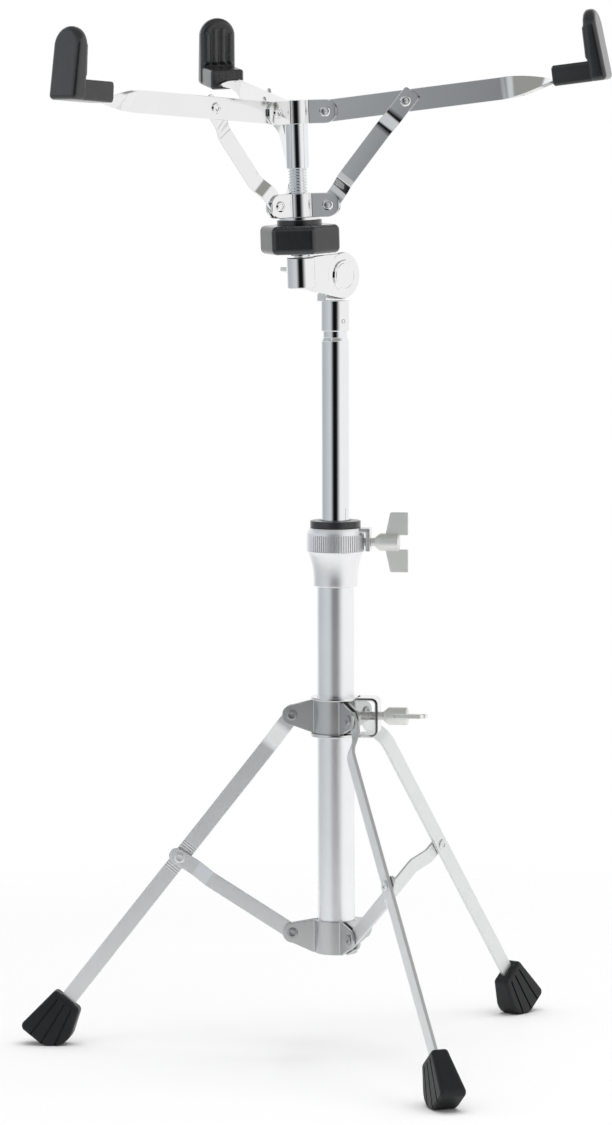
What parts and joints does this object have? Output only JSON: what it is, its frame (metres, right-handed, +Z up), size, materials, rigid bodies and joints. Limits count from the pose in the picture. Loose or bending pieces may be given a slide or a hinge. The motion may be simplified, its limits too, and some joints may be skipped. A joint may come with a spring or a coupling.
{
  "type": "snare drum stand",
  "caption": "Folding drum stand: a braced strip-leg tripod with rubber feet, a telescoping tube with wing-screw clamps, a tilter and a knob-driven gripping basket with rubber tips.",
  "frame": {"origin": "on the floor, under the axis of the base tube", "axes": "+Z up along the tubes; +X to the right and -Y towards the viewer of the picture"},
  "size_m": [0.4044, 0.3877, 0.7136],
  "materials": {
    "leg_steel": "satin nickel plate on pressed steel strip",
    "basket_chrome": "bright plate on pressed steel strip",
    "collar_chrome": "bright plate on bent strap",
    "tube_satin": "soft plated drawn tube",
    "tube_chrome": "bright plated drawn tube and rod",
    "cast_satin": "satin plated die casting",
    "tilter_chrome": "bright plated die casting",
    "screw_chrome": "bright plated wing screw",
    "pin_steel": "dark rolled pin",
    "nylon": "black moulded nylon",
    "knob_plastic": "black moulded plastic, soft sheen",
    "foot_rubber": "black moulded rubber",
    "tip_rubber": "black moulded rubber, soft sheen"
  },
  "bodies": {
    "base": {"base_tube": "tube_satin", "lower_plate_1": "leg_steel", "lower_plate_2": "leg_steel", "lower_plate_3": "leg_steel", "lower_rivets": "leg_steel", "height_clamp": "cast_satin", "height_bushing": "nylon"},
    "leg_collar": {"collar_plate_1": "leg_steel", "collar_plate_2": "leg_steel", "collar_plate_3": "leg_steel", "collar_rivets": "leg_steel", "collar_strap": "collar_chrome"},
    "collar_screw": {"collar_wing_screw": "screw_chrome"},
    "height_screw": {"height_wing_screw": "screw_chrome"},
    "guide": {"guide_plug": "nylon"},
    "column": {"upper_tube": "tube_chrome", "tilter_base": "tilter_chrome", "tilter_pin": "pin_steel"},
    "tilter_nut": {"tilter_wing_nut": "screw_chrome"},
    "basket": {"tilter_arm": "tilter_chrome", "tilter_bolt": "tilter_chrome", "basket_post": "tube_chrome", "upper_hub_plate_1": "basket_chrome", "upper_hub_plate_2": "basket_chrome", "upper_hub_plate_3": "basket_chrome", "upper_hub_rivets": "basket_chrome"},
    "lower_hub": {"lower_hub_plate_1": "basket_chrome", "lower_hub_plate_2": "basket_chrome", "lower_hub_plate_3": "basket_chrome", "lower_hub_rivets": "basket_chrome", "thrust_washer": "basket_chrome"},
    "knob": {"basket_knob": "knob_plastic"},
    "leg_1": {"leg_1": "leg_steel", "foot_1": "foot_rubber", "leg_rivet_1": "leg_steel"},
    "leg_stay_1": {"leg_stay_1": "leg_steel"},
    "arm_1": {"arm_1": "basket_chrome", "tip_1": "tip_rubber", "arm_rivet_1": "basket_chrome"},
    "basket_stay_1": {"basket_stay_1": "basket_chrome"},
    "leg_2": {"leg_2": "leg_steel", "foot_2": "foot_rubber", "leg_rivet_2": "leg_steel"},
    "leg_stay_2": {"leg_stay_2": "leg_steel"},
    "arm_2": {"arm_2": "basket_chrome", "tip_2": "tip_rubber", "arm_rivet_2": "basket_chrome"},
    "basket_stay_2": {"basket_stay_2": "basket_chrome"},
    "leg_3": {"leg_3": "leg_steel", "foot_3": "foot_rubber", "leg_rivet_3": "leg_steel"},
    "leg_stay_3": {"leg_stay_3": "leg_steel"},
    "arm_3": {"arm_3": "basket_chrome", "tip_3": "tip_rubber", "arm_rivet_3": "basket_chrome"},
    "basket_stay_3": {"basket_stay_3": "basket_chrome"}
  },
  "joints": [
    {"name": "leg_fold", "type": "slide", "parent": "base", "child": "leg_collar", "axis": [0, 0, 1], "range_m": [0, 0.07211]},
    {"name": "leg_swing_1", "type": "hinge", "parent": "leg_collar", "child": "leg_1", "pos_m": [-0.02963, 0.00401, 0.2346], "axis": [-0.134, -0.991, 0], "range_deg": [-0.5, 38.7]},
    {"name": "leg_stay_swing_1", "type": "hinge", "parent": "base", "child": "leg_stay_1", "pos_m": [-0.02963, 0.00401, 0.0837], "axis": [-0.134, -0.991, 0], "range_deg": [-58.73, 0.5]},
    {"name": "leg_swing_2", "type": "hinge", "parent": "leg_collar", "child": "leg_2", "pos_m": [0.01135, -0.02766, 0.2346], "axis": [0.9252, 0.3795, 0], "range_deg": [-0.5, 38.7]},
    {"name": "leg_stay_swing_2", "type": "hinge", "parent": "base", "child": "leg_stay_2", "pos_m": [0.01135, -0.02766, 0.0837], "axis": [0.9252, 0.3795, 0], "range_deg": [-58.73, 0.5]},
    {"name": "leg_swing_3", "type": "hinge", "parent": "leg_collar", "child": "leg_3", "pos_m": [0.01828, 0.02366, 0.2346], "axis": [-0.7912, 0.6115, 0], "range_deg": [-0.5, 38.7]},
    {"name": "leg_stay_swing_3", "type": "hinge", "parent": "base", "child": "leg_stay_3", "pos_m": [0.01828, 0.02366, 0.0837], "axis": [-0.7912, 0.6115, 0], "range_deg": [-58.73, 0.5]},
    {"name": "collar_screw_turn", "type": "hinge", "parent": "leg_collar", "child": "collar_screw", "pos_m": [0.02993, -0.00405, 0.2346], "axis": [0.991, -0.134, 0], "range_deg": [0, 360]},
    {"name": "height_screw_turn", "type": "hinge", "parent": "base", "child": "height_screw", "pos_m": [0.02418, -0.00327, 0.3539], "axis": [0.991, -0.134, 0], "range_deg": [0, 360]},
    {"name": "height_slide", "type": "slide", "parent": "base", "child": "guide", "axis": [0, 0, 1], "range_m": [-0.126, 0.065]},
    {"name": "column_swivel", "type": "hinge", "parent": "guide", "child": "column", "pos_m": [0, 0, 0.25], "axis": [0, 0, 1], "continuous": true},
    {"name": "basket_tilt", "type": "hinge", "parent": "column", "child": "basket", "pos_m": [0, 0, 0.5357], "axis": [0.7193, -0.6947, 0], "range_deg": [-90, 12]},
    {"name": "tilter_nut_turn", "type": "hinge", "parent": "column", "child": "tilter_nut", "pos_m": [0, 0, 0.5357], "axis": [0.7193, -0.6947, 0], "range_deg": [0, 360]},
    {"name": "lower_hub_slide", "type": "slide", "parent": "basket", "child": "lower_hub", "axis": [-0.0282, -0.0292, 0.9992], "range_m": [0, 0.02917]},
    {"name": "basket_knob_turn", "type": "hinge", "parent": "lower_hub", "child": "knob", "pos_m": [-0.0239, -0.03281, 0.5743], "axis": [-0.0282, -0.0292, 0.9992], "range_deg": [-20, 5270.62]},
    {"name": "arm_swing_1", "type": "hinge", "parent": "basket", "child": "arm_1", "pos_m": [-0.04037, -0.04986, 0.64539], "axis": [0.7193, -0.6947, 0], "range_deg": [-64.77, 0.5]},
    {"name": "basket_stay_swing_1", "type": "hinge", "parent": "lower_hub", "child": "basket_stay_1", "pos_m": [-0.03861, -0.04804, 0.58304], "axis": [0.7193, -0.6947, 0], "range_deg": [-27.18, 0.5]},
    {"name": "arm_swing_2", "type": "hinge", "parent": "basket", "child": "arm_2", "pos_m": [-0.00576, -0.03995, 0.64666], "axis": [0.2414, 0.9698, 0.0352], "range_deg": [-64.77, 0.5]},
    {"name": "basket_stay_swing_2", "type": "hinge", "parent": "lower_hub", "child": "basket_stay_2", "pos_m": [-0.00399, -0.03813, 0.58431], "axis": [0.2414, 0.9698, 0.0352], "range_deg": [-27.18, 0.5]},
    {"name": "arm_swing_3", "type": "hinge", "parent": "basket", "child": "arm_3", "pos_m": [-0.03167, -0.01493, 0.64666], "axis": [-0.9608, -0.2751, -0.0352], "range_deg": [-64.77, 0.5]},
    {"name": "basket_stay_swing_3", "type": "hinge", "parent": "lower_hub", "child": "basket_stay_3", "pos_m": [-0.02991, -0.0131, 0.58431], "axis": [-0.9608, -0.2751, -0.0352], "range_deg": [-27.18, 0.5]}
  ],
  "couplings": [
    {"joint": "leg_swing_1", "follows": "leg_fold", "rad_per_m": 9.246},
    {"joint": "leg_stay_swing_1", "follows": "leg_fold", "rad_per_m": -14.094},
    {"joint": "leg_swing_2", "follows": "leg_fold", "rad_per_m": 9.246},
    {"joint": "leg_stay_swing_2", "follows": "leg_fold", "rad_per_m": -14.094},
    {"joint": "leg_swing_3", "follows": "leg_fold", "rad_per_m": 9.246},
    {"joint": "leg_stay_swing_3", "follows": "leg_fold", "rad_per_m": -14.094},
    {"joint": "basket_knob_turn", "follows": "lower_hub_slide", "rad_per_m": 3141.6},
    {"joint": "arm_swing_1", "follows": "lower_hub_slide", "rad_per_m": -38.455},
    {"joint": "basket_stay_swing_1", "follows": "lower_hub_slide", "rad_per_m": -15.966},
    {"joint": "arm_swing_2", "follows": "lower_hub_slide", "rad_per_m": -38.455},
    {"joint": "basket_stay_swing_2", "follows": "lower_hub_slide", "rad_per_m": -15.966},
    {"joint": "arm_swing_3", "follows": "lower_hub_slide", "rad_per_m": -38.455},
    {"joint": "basket_stay_swing_3", "follows": "lower_hub_slide", "rad_per_m": -15.966}
  ]
}
